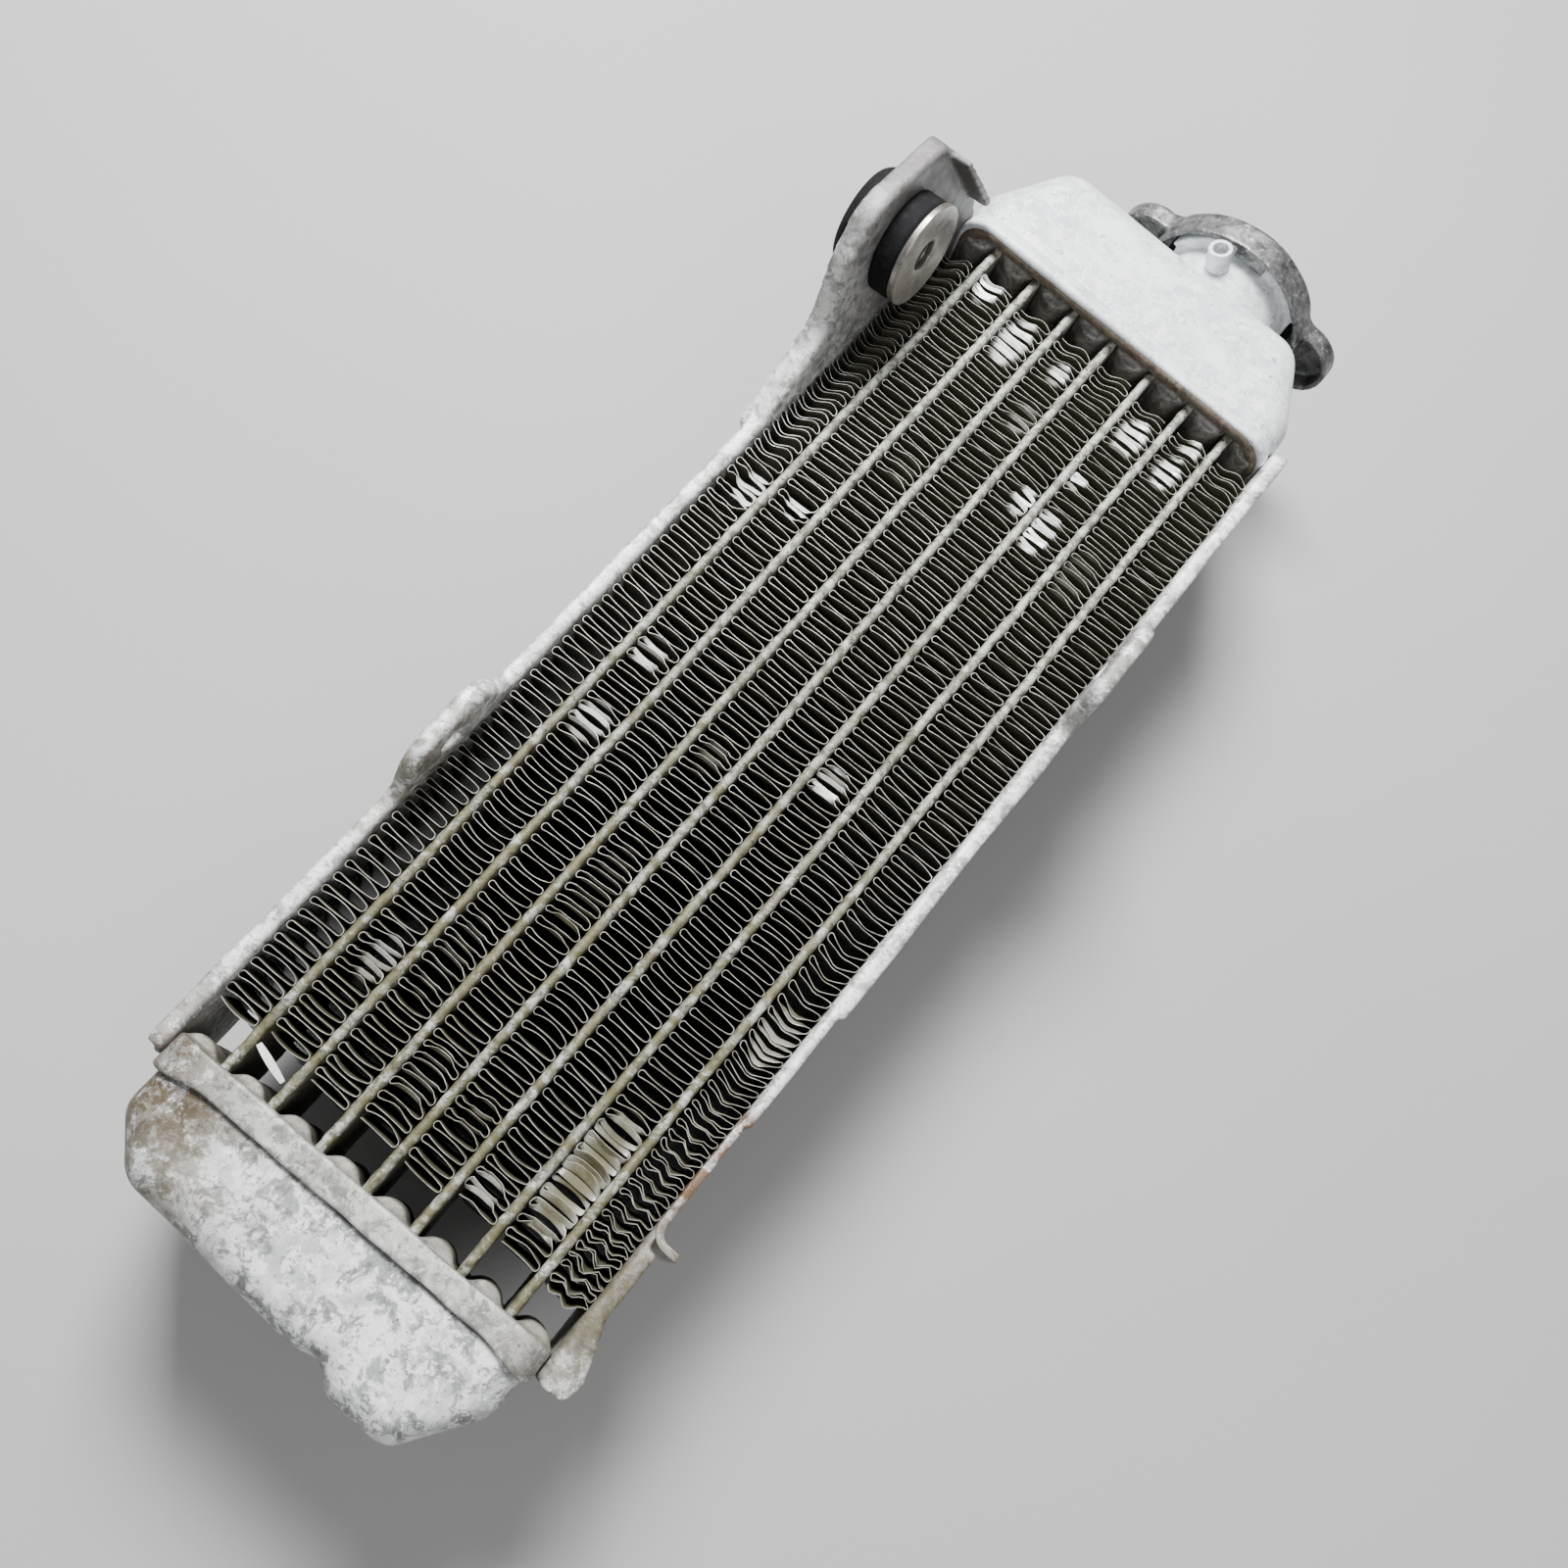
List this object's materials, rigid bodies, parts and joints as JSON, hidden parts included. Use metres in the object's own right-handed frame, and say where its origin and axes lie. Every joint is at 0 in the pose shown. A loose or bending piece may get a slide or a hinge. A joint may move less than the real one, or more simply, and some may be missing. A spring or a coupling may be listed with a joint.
{
  "type": "liquid cooling radiator",
  "caption": "tall narrow aluminium motorcycle coolant radiator with finned tube core, end tanks, filler neck with turning pressure cap, formed side plates and a rubber mounting ear",
  "frame": {"origin": "middle of the bottom of the overall box, with the radiator lying on its back on its two hose spigots", "axes": "+Y along the tubes towards the filler cap, +X across the core to the right seen from the front, +Z out of the front face of the core"},
  "size_m": [0.1076, 0.3116, 0.0897],
  "materials": {
    "tube": "dull, lightly grimed",
    "fin": "dull sheet with bright edges",
    "header": "brazed, dull",
    "bottom_tank": "mottled oxide",
    "top_tank": "pale oxide bloom",
    "side_plate": "worn, oxidised",
    "rubber": "matt",
    "steel": "zinc plated",
    "cap": "worn zinc, mottled",
    "brass": "dull"
  },
  "bodies": {
    "radiator": {"tube_1": "tube", "tube_2": "tube", "tube_3": "tube", "tube_4": "tube", "tube_5": "tube", "tube_6": "tube", "tube_7": "tube", "fin_1": "fin", "fin_2": "fin", "fin_3": "fin", "fin_4": "fin", "fin_5": "fin", "fin_6": "fin", "fin_7": "fin", "fin_8": "fin", "bottom_header": "header", "top_header": "header", "bottom_tank": "bottom_tank", "top_tank": "top_tank", "filler_neck": "top_tank", "overflow_nipple": "top_tank", "inlet_nipple": "top_tank", "outlet_nipple": "bottom_tank", "left_side_plate": "side_plate", "right_side_plate": "side_plate", "lower_right_bracket": "side_plate", "mount_grommet": "rubber", "mount_collar": "steel", "mount_washer": "steel"},
    "cap_core": {"cap_rivet": "steel", "cap_bell": "steel", "cap_gasket": "rubber", "pressure_spring": "steel"},
    "cap_cover": {"cap_cover": "cap"},
    "pressure_valve": {"valve_plate": "steel", "valve_seal": "rubber", "vacuum_spring": "steel"},
    "vacuum_valve": {"vacuum_valve": "brass"}
  },
  "joints": [
    {"name": "cap_rise", "type": "slide", "parent": "radiator", "child": "cap_core", "axis": [0, 1, 0], "range_m": [0, 0.002]},
    {"name": "cap_turn", "type": "hinge", "parent": "cap_core", "child": "cap_cover", "pos_m": [0.01469, 0.1522, 0.0396], "axis": [0, 1, 0], "range_deg": [0, 90]},
    {"name": "pressure_valve_lift", "type": "slide", "parent": "cap_core", "child": "pressure_valve", "axis": [0, 1, 0], "range_m": [0, 0.0015], "stiffness_N_per_m": 400, "springref_m": -0.005, "deforming": ["pressure_spring"]},
    {"name": "vacuum_valve_drop", "type": "slide", "parent": "pressure_valve", "child": "vacuum_valve", "axis": [0, -1, 0], "range_m": [0, 0.001], "stiffness_N_per_m": 40, "springref_m": -0.004, "deforming": ["vacuum_spring"]}
  ],
  "couplings": [
    {"joint": "cap_rise", "follows": "cap_turn", "m_per_rad": 0.0012732}
  ]
}
